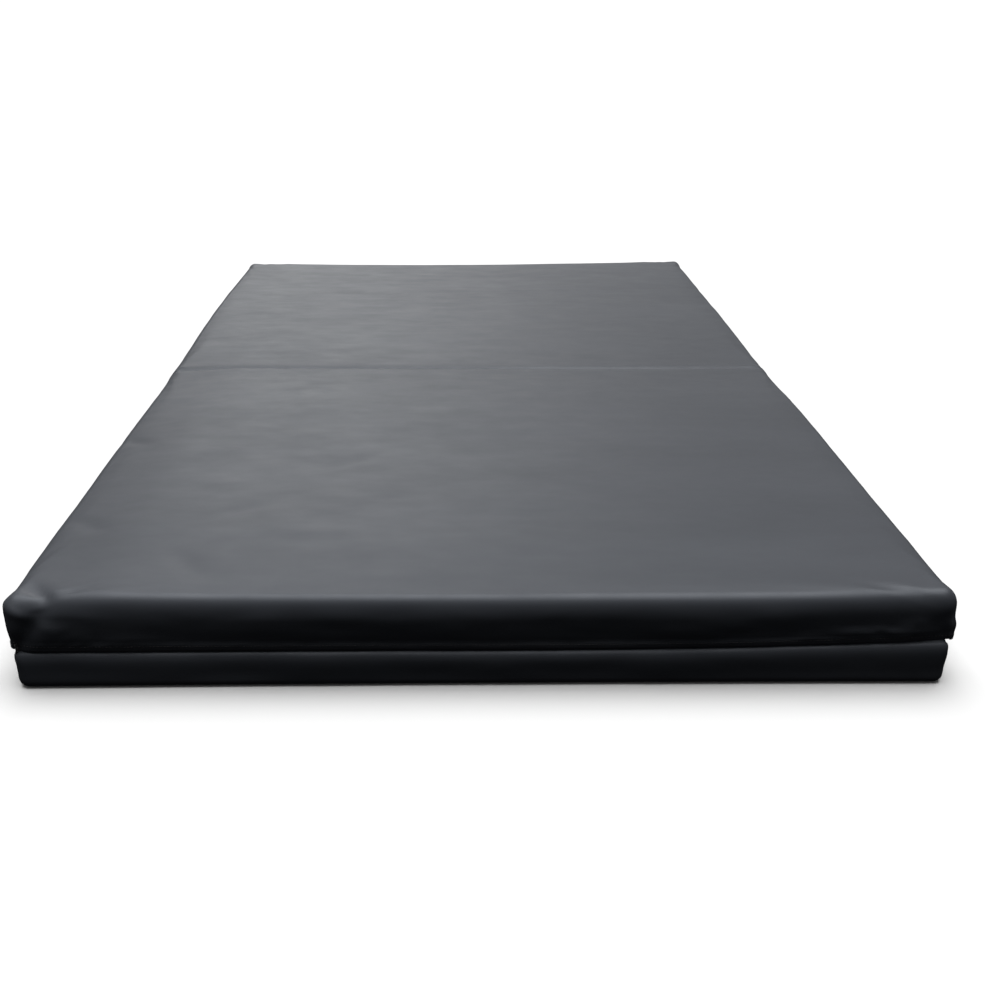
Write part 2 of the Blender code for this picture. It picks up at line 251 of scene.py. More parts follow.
def creases(x, y):
    """How far the top sheet dips at the packing crease. The crease starts left of the middle."""
    line = y - CREASE_Y - CREASE_SLOPE * x
    return smooth(-0.45, -0.25, x) * valley_across(line, CREASE_GROOVE, CREASE_HOLLOW)


# Short dents in the top sheet: centre x and y, length, width, slant in degrees, and depth
DENTS = (
    (-0.19, -0.54, 0.09, 0.030, 40, 0.0018),
    (-0.14, -0.70, 0.08, 0.026, 15, 0.0014),
    (-0.345, -0.74, 0.08, 0.030, 35, 0.0022),
    (-0.39, -0.90, 0.10, 0.028, -55, 0.0018),
    (-0.56, -0.44, 0.07, 0.030, -40, 0.0022),
    (-0.55, -0.78, 0.08, 0.030, -40, 0.0020),
    (-0.27, -0.82, 0.14, 0.028, 5, -0.0010),
    (-0.40, -0.50, 0.15, 0.034, 0, -0.0010),
)


def dents(x, y):
    total = np.zeros_like(x)
    for cx, cy, length, width, slant, depth in DENTS:
        c, s = math.cos(math.radians(slant)), math.sin(math.radians(slant))
        u = (x - cx) * c + (y - cy) * s
        v = (y - cy) * c - (x - cx) * s
        total += depth * hump(u, 0, length / 2) * hump(v, 0, width / 2)
    return total


# How deep the pleat across each top corner is, and how far the corner stands out, by the signs of x and y
PLEATS = {
    (-1, -1): (0.0060, 0.0010),
    (1, -1): (0.0008, 0.0020),
    (-1, 1): (0.0020, 0.001),
    (1, 1): (0.0015, 0.001),
}
SEAM_DEPTH = 0.0012
SEAM_WIDTH = 0.0022
# How steeply the slanting shade by the front's right corner leans in, and how far the hem turns in
SHADE_LEAN = 0.07
HEM_TURN = 0.003
HEM_TURN_HEIGHT = 0.016


def pleats(points):
    """A slack cover folds in a short valley across the corner, and a ridge slants down from it."""
    x, y, z = points.T
    total = np.zeros_like(x)
    drop = TOP - z
    for (sx, sy), (depth, peak) in PLEATS.items():
        side = HALF_WIDTH - sx * x
        end = HALF_LENGTH - sy * y
        valley = hump(side + end + 0.8 * drop, 0.066, 0.015) * hump(side - end, 0.028, 0.045)
        ridge = hump(drop - 0.5 * side, 0.010, 0.007) * hump(side, 0.012, 0.034) * smooth(0.03, 0.01, end)
        total += depth * (valley - 0.35 * ridge) - peak * hump(side + end + drop, 0.022, 0.022)
    return total


def corner_seams(points):
    """The skirts are joined by an upright seam at each corner."""
    x, y, z = points.T
    side = np.abs(x) - (HALF_WIDTH - CORNER_RADIUS)
    end = np.abs(y) - (HALF_LENGTH - CORNER_RADIUS)
    near = (side > -0.001) & (end > -0.001)
    skirt = 1 - smooth(TOP - TOP_ROLL * 0.7, TOP - TOP_ROLL * 0.3, z)
    return SEAM_DEPTH * near * skirt * hump(side - end, 0, SEAM_WIDTH)


def skirt_relief(points):
    """Slack in the skirts: slow waves, a shaded slant below the front's right corner, and a tidy hem."""
    x, y, z = points.T
    skirt = 1 - smooth(TOP - TOP_ROLL, TOP - 0.3 * TOP_ROLL, z)
    waves = streaks(points, 7.3, (7, 7, 16), 0.0018) + streaks(points, 2.9, (16, 16, 22), 0.0006)
    free = smooth(HEM - 0.002, HEM + 0.03, z)
    from_right = HALF_WIDTH - x
    line = (TOP - z) - 0.55 * from_right
    front = (y < -HALF_LENGTH + 2 * CORNER_RADIUS) & (x > 0)
    shaded = -SHADE_LEAN * np.clip(line, 0, 0.05) * smooth(0.14, 0.0, from_right) * front
    shaded *= outward(points)[:, 1] ** 2
    turned_in = HEM_TURN * (1 - smooth(HEM, HEM + HEM_TURN_HEIGHT, z)) * outward(points)[:, 1] ** 2
    return skirt * (waves * (0.35 + 0.65 * free) + shaded - turned_in)


def top_relief(points):
    """How far the top sheet stands up or dips: slow and fine waves, the fold, the crease and the dents."""
    x, y = points.T[:2]
    away = smooth(0.004, 0.04, np.abs(y))
    slow = streaks(points, 3.1, (2.0, 5.0, 3), 0.0011) * away
    fine = streaks(points, 8.7, (2.4, 17.0, 3), 0.00035) * away
    return slow + fine - fold_valley(x, y) - creases(x, y) - dents(x, y)


def streaks(points, seed, stretch, height):
    """Low relief, drawn out along X, from layered noise."""
    scaled = points * np.array(stretch) + seed
    return height * np.array([noise.fractal(Vector(p), 1.0, 2.0, 3) for p in scaled])


# ---------------------------------------------------------------- columns round a panel


def spread_lines(half, spacing, fold_offsets):
    """Grid coordinates from -half to half: close together over the rolled edges and at the fold."""
    roll_start = half - TOP_ROLL
    roll = [roll_start + TOP_ROLL * math.tan(math.pi / 4 * k / ROLL_LINES) for k in range(ROLL_LINES + 1)]
    fine_start = roll_start - EDGE_REACH
    fine_count = round(EDGE_REACH / EDGE_SPACING)
    fine = [fine_start + EDGE_REACH * k / fine_count for k in range(fine_count)]
    start = fold_offsets[-1] if fold_offsets else 0.0
    count = round((fine_start - start) / spacing)
    body = [start + (fine_start - start) * k / count for k in range(count)]
    positive = [v for v in list(fold_offsets)[:-1] + body + fine + roll if v > 0]
    return [-v for v in reversed(positive)] + [0.0] + positive


LINES_X = spread_lines(HALF_WIDTH, ACROSS_SPACING, ())
LINES_Y = spread_lines(HALF_LENGTH, ALONG_SPACING, FOLD_OFFSETS)


def rounded(points):
    """Points of a sharp-edged box, moved on to a box with round corners and a rolled top edge."""
    p = np.array(points, float).reshape(-1, 3)
    core = np.array([HALF_WIDTH, HALF_LENGTH, TOP]) - (CORNER_RADIUS, CORNER_RADIUS, TOP_ROLL)
    low = np.array([-core[0], -core[1], -1.0])
    radius = np.array([CORNER_RADIUS, CORNER_RADIUS, TOP_ROLL])
    nearest = np.clip(p, low, core)
    out = (p - nearest) / radius
    length = np.maximum(np.linalg.norm(out, axis=1, keepdims=True), 1e-9)
    return nearest + radius * out / np.maximum(length, 1.0)


def columns(side):
    """Points and outward directions round one panel's three outer sides, at the mat's straight outline, from
    the fold on its right to the fold on its left."""
    ys = [y for y in LINES_Y if side * y >= FOLD_HALF_WIDTH - 1e-9]
    ys = sorted(ys, key=abs)
    path = [(HALF_WIDTH, y) for y in ys]
    path += [(x, side * HALF_LENGTH) for x in reversed(LINES_X[1:-1])]
    path += [(-HALF_WIDTH, y) for y in reversed(ys)]
    p = np.array(path)
    core = np.array([HALF_WIDTH - CORNER_RADIUS, HALF_LENGTH - CORNER_RADIUS])
    nearest = np.clip(p, -core, core)
    out = p - nearest
    out /= np.linalg.norm(out, axis=1, keepdims=True)
    return nearest + CORNER_RADIUS * out, out


def carried(side, profile):
    """Rows of points, one row for each (inset, z) of the profile."""
    base, out = columns(side)
    rows = []
    for inset, z in profile:
        flat = base - inset * out
        rows.append(np.column_stack([flat, np.full(len(flat), z)]))
    return rows


# ---------------------------------------------------------------- meshes


def mesh_object(name, points, faces, look, shade_smooth=True):
    mesh = bpy.data.meshes.new(name)
    mesh.from_pydata([tuple(p) for p in points], [], faces)
    mesh.validate()
    if shade_smooth:
        mesh.shade_smooth()
    obj = bpy.data.objects.new(name, mesh)
    bpy.context.scene.collection.objects.link(obj)
    mesh.materials.append(look)
    return obj


def strip_faces(rows, count, flip=False):
    """Quads between neighbouring rows of count points each. The rows' points are numbered in order."""
    faces = []
    for r in range(rows - 1):
        for i in range(count - 1):
            a, b = r * count + i, r * count + i + 1
            c, d = b + count, a + count
            faces.append((a, b, c, d) if flip else (a, d, c, b))
    return faces


def applied(obj):
    """Puts what the modifiers make into the mesh, and takes them off."""
    graph = bpy.context.evaluated_depsgraph_get()
    mesh = bpy.data.meshes.new_from_object(obj.evaluated_get(graph))
    old = obj.data
    obj.modifiers.clear()
    obj.data = mesh
    mesh.name = old.name
    bpy.data.meshes.remove(old)
    return obj


def thicken(obj, thickness):
    """The drawn surface is the outer face."""
    grow = obj.modifiers.new("Thickness", "SOLIDIFY")
    grow.thickness = thickness
    grow.offset = -1
    grow.use_even_offset = False
    return applied(obj)


def coordinates(obj):
    co = np.empty(len(obj.data.vertices) * 3)
    obj.data.vertices.foreach_get("co", co)
    return co.reshape(-1, 3)


def set_coordinates(obj, co):
    obj.data.vertices.foreach_set("co", co.ravel())
    obj.data.update()


# ---------------------------------------------------------------- cloth


CLOTH_PRESSURE = 3.0
CLOTH_CAP = 0.0020


def cloth_modifier(obj, group, pressure, frames):
    """Coated cloth, blown up from inside and held where the group says."""
    cloth = obj.modifiers.new("Cloth", "CLOTH")
    settings = cloth.settings
    settings.quality = 3
    settings.mass = 0.3
    settings.tension_stiffness = 40
    settings.compression_stiffness = 15
    settings.shear_stiffness = 15
    settings.bending_stiffness = 1.5
    settings.shrink_min = -0.004
    settings.use_pressure = True
    settings.uniform_pressure_force = pressure
    settings.effector_weights.gravity = 0
    settings.vertex_group_mass = group.name
    cloth.point_cache.frame_start = 1
    cloth.point_cache.frame_end = frames


def puff(obj, held, pressure, cap, frames=20):
    """Fills a sheet out by cloth simulation. held is each point's hold, 1 where it stays put. No point moves
    further than cap."""
    start = coordinates(obj)
    group = obj.vertex_groups.new(name="held")
    for i, weight in enumerate(held):
        if weight > 0.01:
            group.add([i], float(weight), "REPLACE")
    cloth_modifier(obj, group, pressure, frames)
    scene = bpy.context.scene
    for step in range(1, frames + 1):
        scene.frame_set(step)
    graph = bpy.context.evaluated_depsgraph_get()
    shown = obj.evaluated_get(graph).to_mesh()
    moved = np.empty(len(shown.vertices) * 3)
    shown.vertices.foreach_get("co", moved)
    obj.modifiers.clear()
    obj.vertex_groups.clear()
    scene.frame_set(1)
    shift = moved.reshape(-1, 3) - start
    length = np.maximum(np.linalg.norm(shift, axis=1, keepdims=True), 1e-9)
    shift *= np.minimum(1, cap * np.tanh(length / cap) / length)
    set_coordinates(obj, start + shift)
    return obj


# ---------------------------------------------------------------- materials


class Nodes:
    """Short calls for making a node tree."""

    def __init__(self, name):
        self.material = bpy.data.materials.new(name)
        self.material.use_nodes = True
        self.tree = self.material.node_tree
        self.shader = self.tree.nodes["Principled BSDF"]

    def add(self, kind, **values):
        node = self.tree.nodes.new(kind)
        for key, value in values.items():
            setattr(node, key, value)
        return node

    def link(self, source, target):
        self.tree.links.new(source, target)

    def place(self, scale=(1, 1, 1)):
        """The point in the row frame, stretched."""
        where = self.add("ShaderNodeTexCoord")
        mapping = self.add("ShaderNodeMapping")
        mapping.inputs["Scale"].default_value = scale
        self.link(where.outputs["Object"], mapping.inputs["Vector"])
        return mapping.outputs["Vector"]

    def noise(self, vector, scale, detail=3.0, rough=0.5):
        node = self.add("ShaderNodeTexNoise")
        node.inputs["Scale"].default_value = scale
        node.inputs["Detail"].default_value = detail
        node.inputs["Roughness"].default_value = rough
        self.link(vector, node.inputs["Vector"])
        return node.outputs["Fac"]

    def voronoi(self, vector, scale, feature="F1"):
        node = self.add("ShaderNodeTexVoronoi", feature=feature)
        node.inputs["Scale"].default_value = scale
        self.link(vector, node.inputs["Vector"])
        return node.outputs["Distance"]

    def spread(self, value, low, high, from_low=0.3, from_high=0.7):
        """A 0 to 1 value, mapped to low to high."""
        node = self.add("ShaderNodeMapRange")
        node.inputs["From Min"].default_value = from_low
        node.inputs["From Max"].default_value = from_high
        node.inputs["To Min"].default_value = low
        node.inputs["To Max"].default_value = high
        self.link(value, node.inputs["Value"])
        return node.outputs["Result"]

    def mix(self, factor, one, other):
        node = self.add("ShaderNodeMix", data_type="RGBA")
        node.inputs[6].default_value = (*one, 1)
        node.inputs[7].default_value = (*other, 1)
        self.link(factor, node.inputs["Factor"])
        return node.outputs[2]

    def math(self, operation, one, other):
        node = self.add("ShaderNodeMath", operation=operation)
        for socket, value in zip(node.inputs, (one, other)):
            if isinstance(value, (int, float)):
                socket.default_value = value
            else:
                self.link(value, socket)
        return node.outputs["Value"]

    def bump(self, height, distance, strength=1.0, under=None):
        node = self.add("ShaderNodeBump")
        node.inputs["Strength"].default_value = strength
        node.inputs["Distance"].default_value = distance
        self.link(height, node.inputs["Height"])
        if under is not None:
            self.link(under, node.inputs["Normal"])
        return node.outputs["Normal"]

    def finish(self, colour=None, roughness=None, normal=None):
        for socket, value in (("Base Color", colour), ("Roughness", roughness), ("Normal", normal)):
            if value is not None:
                self.link(value, self.shader.inputs[socket])
        return self.material


def vinyl_material():
    """Satin black vinyl: fine leather grain, slow changes of sheen and faint patches of colour."""
    n = Nodes("vinyl")
    n.shader.inputs["Specular IOR Level"].default_value = 0.25
    n.shader.inputs["Specular Tint"].default_value = (0.86, 0.915, 1.0, 1)
    place = n.place()
    patches = n.noise(n.place((1, 3, 3)), 3.0, 4.0)
    cells = n.voronoi(place, 900, "DISTANCE_TO_EDGE")
    pores = n.noise(place, 1600, 2.0)
    colour = n.mix(n.spread(patches, 0, 1), (0.0140, 0.0155, 0.0190), (0.0178, 0.0195, 0.0235))
    roughness = n.spread(n.noise(n.place((1, 2, 2)), 14.0, 5.0, 0.6), 0.46, 0.54)
    grain = n.math("ADD", n.math("MULTIPLY", cells, 1.5), n.math("MULTIPLY", pores, 0.4))
    normal = n.bump(grain, 0.00012, 0.35)
    return n.finish(colour, roughness, normal)


def small_part_material(name, colour, roughness, grain):
    """Moulded plastic or thread: mottled colour, a fine surface and rubbed patches."""
    n = Nodes(name)
    place = n.place()
    dark = tuple(c * 0.75 for c in colour)
    light = tuple(min(1, c * 1.25) for c in colour)
    fine = n.noise(place, grain, 3.0)
    rubbed = n.noise(place, grain / 6, 4.0, 0.6)
    return n.finish(
        n.mix(n.spread(fine, 0, 1), dark, light),
        n.spread(rubbed, roughness - 0.1, roughness + 0.1),
        n.bump(fine, 0.0001, 0.4),
    )


def worn_metal_material():
    """Black paint on cast zinc, rubbed thin in small patches."""
    n = Nodes("zip_metal")
    place = n.place()
    wear = n.spread(n.noise(place, 260, 5.0, 0.65), 0, 1, 0.58, 0.66)
    pits = n.noise(place, 1500, 2.0)
    colour = n.mix(wear, (0.022, 0.022, 0.024), (0.16, 0.155, 0.15))
    n.link(n.spread(wear, 0.35, 0.95, 0, 1), n.shader.inputs["Metallic"])
    return n.finish(colour, n.spread(wear, 0.42, 0.26, 0, 1), n.bump(pits, 0.00006, 0.4))


def woven_material(name, colour, roughness, pitch):
    """A tape's weave: yarns that cross at right angles on faces of every direction, with fluff between."""
    n = Nodes(name)
    place = n.place()
    parts = n.add("ShaderNodeSeparateXYZ")
    n.link(place, parts.inputs["Vector"])
    waves = []
    for axis in ("X", "Y", "Z"):
        turned = n.math("MULTIPLY", parts.outputs[axis], 2 * math.pi / pitch)
        waves.append(n.math("SINE", turned, 0.0))
    crossed = n.math("MULTIPLY", n.math("ADD", waves[0], waves[1]), 0.5)
    weave = n.math("ADD", n.math("MULTIPLY", crossed, waves[2]), crossed)
    height = n.spread(weave, 0, 1, -1.2, 1.2)
    fluff = n.noise(place, 2600, 3.0, 0.6)
    # The colour runs from dark in the weave's hollows to light on its raised yarns. This is painted shade
    # between the yarns, mixed with the fluff's random tone.
    dark = tuple(c * 0.6 for c in colour)
    light = tuple(c * 1.5 for c in colour)
    shade = n.math("ADD", n.math("MULTIPLY", height, 0.7), n.math("MULTIPLY", fluff, 0.3))
    return n.finish(
        n.mix(shade, dark, light),
        n.spread(fluff, roughness - 0.08, roughness + 0.05),
        n.bump(fluff, 0.00006, 0.5, n.bump(height, 0.0002, 0.7)),
    )


def foam_material():
    """Open-cell foam: round cells of two sizes, and a colour that yellows a little in patches."""
    n = Nodes("foam")
    place = n.place()
    cells = n.voronoi(place, 380)
    small = n.voronoi(place, 1100)
    patches = n.noise(place, 6.0, 4.0)
    depth = n.math("ADD", n.math("MULTIPLY", cells, 0.7), n.math("MULTIPLY", small, 0.3))
    colour = n.mix(n.spread(patches, 0, 1), (0.20, 0.22, 0.24), (0.245, 0.25, 0.235))
    return n.finish(colour, n.spread(small, 0.9, 0.98, 0, 0.6), n.bump(depth, 0.0007, 0.6))


def base_material():
    """The underside's grip vinyl: an embossed pebble of raised islands, scuffed by the floor."""
    n = Nodes("base_vinyl")
    n.shader.inputs["Specular IOR Level"].default_value = 0.3
    place = n.place()
    islands = n.voronoi(place, 210, "DISTANCE_TO_EDGE")
    raised = n.spread(islands, 0, 1, 0.05, 0.22)
    scuffs = n.noise(n.place((1, 6, 1)), 9.0, 6.0, 0.65)
    dust = n.noise(place, 5.0, 4.0)
    colour = n.mix(n.spread(scuffs, 0, 1, 0.45, 0.75), (0.013, 0.013, 0.014), (0.026, 0.026, 0.026))
    rough = n.math("ADD", n.spread(dust, 0.60, 0.78), n.math("MULTIPLY", raised, -0.06))
    return n.finish(colour, rough, n.bump(raised, 0.0003, 0.6))


# ---------------------------------------------------------------- pieces


def top_cover(look):
    """One sheet over both panels, with skirts that turn down over the sides. It is slit below the fold."""
    xs, ys = LINES_X, LINES_Y
    across, along = len(xs), len(ys)
    points = [(x, y, TOP) for y in ys for x in xs]
    faces = []
    for j in range(along - 1):
        for i in range(across - 1):
            a = j * across + i
            faces.append((a, a + 1, a + 1 + across, a + across))
    depths = [TOP_ROLL * math.tan(math.pi / 4 * k / ROLL_LINES) for k in range(ROLL_LINES - 1, -1, -1)]
    heights = [TOP - TOP_ROLL + d for d in depths]
    below_roll = heights[-1]
    drop = HEM + HEM_FOLD - below_roll
    heights += [below_roll + drop * k / SKIRT_ROWS for k in range(1, SKIRT_ROWS + 1)]
    heights += [HEM + HEM_FOLD * share for share in (0.94, 0.7, 0.5, 0.25, 0.06, 0.0)]
    number = {(round(x, 7), round(y, 7)): j * across + i for j, y in enumerate(ys) for i, x in enumerate(xs)}
    for side in PANELS.values():
        line = sorted((y for y in ys if side * y >= FOLD_HALF_WIDTH - 1e-9), key=abs)
        path = [(xs[-1], y) for y in line]
        path += [(x, side * HALF_LENGTH) for x in reversed(xs[1:-1])]
        path += [(xs[0], y) for y in reversed(line)]
        above = [number[(round(x, 7), round(y, 7))] for x, y in path]
        for z in heights:
            row = list(range(len(points), len(points) + len(path)))
            points += [(x, y, z) for x, y in path]
            for i in range(len(path) - 1):
                quad = (above[i], above[i + 1], row[i + 1], row[i])
                faces.append(quad if side < 0 else quad[::-1])
            above = row
    obj = mesh_object("top_cover", rounded(points), faces, look)
    flip_if_inward(obj)
    return obj


def flip_if_inward(obj):
    """Faces look away from the mat's middle."""
    mesh = obj.data
    centre = np.array([0, 0, TOP / 2])
    total = 0.0
    for polygon in mesh.polygons:
        total += float(np.dot(np.array(polygon.normal), np.array(polygon.center) - centre)) * polygon.area
    if total < 0:
        mesh.flip_normals()


def shape_top(obj):
    """Fills the sheet out with cloth, then lays the fold, the creases, the skirts' slack and the soft
    outline over it."""
    start = coordinates(obj)
    x, y, z = start.T
    near_fold = 1 - smooth(0.0006, 0.012, np.abs(y))
    near_hem = 1 - smooth(HEM, HEM + 0.012, z)
    near_corner = smooth(HALF_WIDTH - 0.07, HALF_WIDTH - 0.01, np.abs(x))
    near_corner *= smooth(HALF_LENGTH - 0.07, HALF_LENGTH - 0.01, np.abs(y))
    held = np.maximum(np.maximum(near_fold, near_hem), near_corner)
    puff(obj, held, CLOTH_PRESSURE, CLOTH_CAP)
    top = smooth(TOP - TOP_ROLL, TOP - 0.2 * TOP_ROLL, z)
    hem = HEM_STEP * smooth(HEM + HEM_FOLD, HEM + 0.9 * HEM_FOLD, z) * smooth(HEM, HEM + 0.1 * HEM_FOLD, z)
    relief = top * top_relief(start) + skirt_relief(start) - pleats(start) - corner_seams(start) + hem
    co = coordinates(obj) + outward(start) * relief[:, None]
    lift = hem_lift(start)
    co = soften(co)
    co[:, 2] += lift
    set_coordinates(obj, co)
    return obj


BULGE = 0.0050
BULGE_LOST_AT_LEFT = 0.0018
BAND_ROLL = 0.010
BAND_SHOULDER_START = 0.033
BAND_SHOULDER_RISE = 0.012
BAND_SHOULDER_DEPTH = 0.0055
BAND_LIP_DEPTH = 0.0058
BAND_LINES = (0.014, 0.019, 0.024, 0.029, BAND_SHOULDER_START)


def end_bulge(x, z):
    """How much further out the lower band stands at the mat's ends, so that its shoulder shows below the
    hem. It stands out less towards the left."""
    fullness = BULGE - BULGE_LOST_AT_LEFT * smooth(0, HALF_WIDTH, -x)
    return fullness * smooth(0.010, 0.040, z) * (1 - smooth(0.040, BAND_TOP, z))


def band_profile():
    """Inset and height, from the underside's edge round the rolled foot, up the side and over the top."""
    profile = []
    for k in range(7):
        angle = math.pi / 2 * k / 6
        profile.append((BASE_INSET - BAND_ROLL * math.sin(angle), BAND_ROLL * (1 - math.cos(angle))))
    profile += [(BAND_INSET, z) for z in BAND_LINES]
    for k in range(1, 7):
        angle = math.pi / 2 * k / 6
        inset = BAND_INSET + BAND_SHOULDER_DEPTH * (1 - math.cos(angle))
        profile.append((inset, BAND_SHOULDER_START + BAND_SHOULDER_RISE * math.sin(angle)))
    profile.append((BAND_INSET + BAND_LIP_DEPTH, BAND_TOP))
    return profile


def keep_zip_clear(points, out):
    """Along the long sides, draws the band's upper edge in and down, behind the zip's pull and slider."""
    beside = 1 - out[:, 1] ** 2
    limit = ZIP_CLEAR_X + 0.8 * np.clip(ZIP_CLEAR_START - points[:, 2], 0, 1)
    excess = np.clip(np.abs(points[:, 0]) - limit, 0, 1) * beside
    points[:, 0] -= np.sign(points[:, 0]) * excess
    points[:, 2] -= np.clip(points[:, 2] - ZIP_CLEAR_Z, 0, 1) * beside


def side_band(name, side, look):
    """The lower side of the cover. It swells out under the hem and rolls under the mat."""
    rows = carried(side, band_profile())
    points = np.concatenate(rows)
    out = outward(points)
    out[:, 2] = 0
    swell = end_bulge(points[:, 0], points[:, 2]) * out[:, 1] ** 2
    swell += streaks(points, 5.1, (8, 8, 20), 0.0012) * smooth(0.004, 0.02, points[:, 2])
    points = points + out * swell[:, None]
    lift = hem_lift(points) * smooth(0.02, 0.045, points[:, 2])
    points = soften(points)
    points[:, 2] += lift
    keep_zip_clear(points, out)
    obj = mesh_object(name, points, strip_faces(len(rows), len(rows[0])), look)
    flip_if_inward(obj)
    return obj


def grid_faces(columns_count, rows_count, flip=False):
    """Quads of a grid whose points are numbered row by row."""
    return strip_faces(rows_count, columns_count, flip)


def base_sheet(name, side, look):
    """The underside sheet, a little slack between its seams."""
    half = HALF_WIDTH - BASE_INSET
    reach = HALF_LENGTH - BASE_INSET
    xs = np.linspace(-half, half, 61)
    ys = side * np.linspace(FOLD_HALF_WIDTH, reach, 51)
    radius = CORNER_RADIUS - BASE_INSET
    points = np.array([(x, y, 0.0) for y in ys for x in xs])
    core = np.array([half - radius, reach - radius])
    nearest = np.clip(points[:, :2], -core, core)
    out = (points[:, :2] - nearest) / radius
    length = np.maximum(np.linalg.norm(out, axis=1, keepdims=True), 1.0)
    points[:, :2] = nearest + radius * out / length
    inside = smooth(0, 0.05, half - np.abs(points[:, 0])) * smooth(0, 0.05, reach - np.abs(points[:, 1]))
    inside *= smooth(0, 0.05, np.abs(points[:, 1]))
    slack = np.abs(streaks(points, 4.4, (9, 9, 1), 0.0009)) * inside
    points = soften(points)
    points[:, 2] += slack
    return mesh_object(name, points, grid_faces(len(xs), len(ys), flip=side < 0), look)


def inner_half_width(z):
    """Half the width inside the cover at a height, at the fold."""
    roll = TOP_ROLL - VINYL
    foot = 0.012
    half = HALF_WIDTH - 0.0015 - 0.003 * (1 - smooth(0.050, 0.060, z))
    up = np.clip((z - (WALL_TOP - roll)) / roll, 0, 1)
    down = np.clip((foot - z) / foot, 0, 1)
    return half - roll * (1 - np.sqrt(1 - up**2)) - foot * (1 - np.sqrt(1 - down**2))


WALL_HALF = 0.6
WALL_MIDDLE = 0.5
WALL_BOW = 0.0022


def fold_wall(name, side, look):
    """The end wall at the fold. It shows when the mat is folded, and bows in a little from the other one."""
    edge_lines = np.geomspace(WALL_MIDDLE, WALL_HALF, 8)[1:]
    xs = np.concatenate([-edge_lines[::-1], np.linspace(-WALL_MIDDLE, WALL_MIDDLE, 61), edge_lines])
    turns = np.linspace(0, math.pi, 23)
    zs = WALL_FOOT + (WALL_TOP - WALL_FOOT) * (1 - np.cos(turns)) / 2
    points = []
    for z in zs:
        half = inner_half_width(np.array(z))
        points += [(x / WALL_HALF * half, side * WALL_FACE, z) for x in xs]
    points = np.array(points)
    x, _, z = points.T
    inside = smooth(0, 0.03, HALF_WIDTH - np.abs(x)) * smooth(0, 0.02, z) * smooth(0, 0.02, WALL_TOP - z)
    waves = 0.5 + 0.5 * streaks(points, 6.2, (7, 1, 14), 1.0)
    bow = side * WALL_BOW * inside * np.clip(waves, 0.15, 1)
    points = soften(points)
    points[:, 1] += bow
    return mesh_object(name, points, grid_faces(len(xs), len(zs), flip=side > 0), look)


def box_surface(xs, ys, zs):
    """A closed box of quads over three lists of grid lines."""
    lines = (xs, ys, zs)
    number = {}
    points = []
    faces = []

    def at(key):
        if key not in number:
            number[key] = len(points)
            points.append([lines[k][key[k]] for k in range(3)])
        return number[key]

    for axis in range(3):
        a, b = (axis + 1) % 3, (axis + 2) % 3
        for end in (0, len(lines[axis]) - 1):
            for i in range(len(lines[a]) - 1):
                for j in range(len(lines[b]) - 1):
                    quad = []
                    for di, dj in ((0, 0), (1, 0), (1, 1), (0, 1)):
                        key = [0, 0, 0]
                        key[axis], key[a], key[b] = end, i + di, j + dj
                        quad.append(at(tuple(key)))
                    faces.append(tuple(quad if end else quad[::-1]))
    return np.array(points), faces


FOAM_INSET = 0.0100
FOAM_NOTCH = 0.0070
FOAM_FOOT_INSET = 0.012
FOAM_RADIUS = (0.024, 0.024, 0.026)
FOAM_EDGE_LINES = (0.0, 0.004, 0.009, 0.015, 0.022, 0.032, 0.05)
FOAM_HEIGHTS = (0.034, 0.040, 0.046, 0.054, 0.064, 0.074, 0.082, 0.088)


def foam_inset(z):
    """How far the foam stays behind the cover's straight outline. It is deeper behind the zip and at the
    rolled foot."""
    notch = smooth(0.036, 0.046, z) * (1 - smooth(0.080, 0.090, z))
    return FOAM_INSET + FOAM_NOTCH * notch + FOAM_FOOT_INSET * (1 - smooth(0.0, 0.014, z))


def foam_block(name, side, look):
    """The foam block, cut square and rounded where the cover presses on it."""
    top, foot = FOAM_TOP, FOAM_FOOT
    edge = np.array(FOAM_EDGE_LINES)
    body_x = np.linspace(-HALF_WIDTH + 0.08, HALF_WIDTH - 0.08, 37)
    xs = np.concatenate([-HALF_WIDTH + edge, body_x, (HALF_WIDTH - edge)[::-1]])
    body_y = np.linspace(HALF_LENGTH - 0.08, 0.004, 31)
    ys = np.concatenate([HALF_LENGTH - edge, body_y, [FOAM_END]]) * side
    ys = np.sort(ys)
    zs = np.concatenate([foot + edge[:5], FOAM_HEIGHTS, top - edge[3::-1]])
    points, faces = box_surface(xs, ys, zs)
    radius = np.array(FOAM_RADIUS)
    low = np.array([-HALF_WIDTH + radius[0], -HALF_LENGTH + radius[1], -1.0])
    high = np.array([HALF_WIDTH - radius[0], HALF_LENGTH - radius[1], top - radius[2]])
    nearest = np.clip(points, low, high)
    out = (points - nearest) / radius
    points = nearest + radius * out / np.maximum(np.linalg.norm(out, axis=1, keepdims=True), 1.0)
    inset = foam_inset(points[:, 2])
    points[:, 0] *= 1 - inset / HALF_WIDTH
    points[:, 1] -= np.abs(points[:, 1]) / HALF_LENGTH * inset * np.sign(points[:, 1])
    x, y, z = points.T
    drop = 1.5 * np.abs(pleats(points)) + np.clip(creases(x, y) + fold_valley(x, y) + dents(x, y), 0, 1)
    drop += streaks(points, 9.1, (40, 40, 40), 0.0003)
    points[:, 2] -= drop * smooth(0.06, TOP, z)
    points = soften(points)
    grain = streaks(points, 1.7, (90, 90, 90), 0.00025) * smooth(0.003, 0.01, np.abs(points[:, 1]))
    points += grain[:, None]
    points[:, 2] = np.minimum(points[:, 2], HINGE_HEIGHT - 0.001)
    behind_zip = (points[:, 2] > 0.040) & (points[:, 2] < 0.078)
    points[:, 0] = np.where(behind_zip, np.clip(points[:, 0], -FOAM_CLEAR_X, FOAM_CLEAR_X), points[:, 0])
    obj = mesh_object(name, points, faces, look)
    flip_if_inward(obj)
    return obj


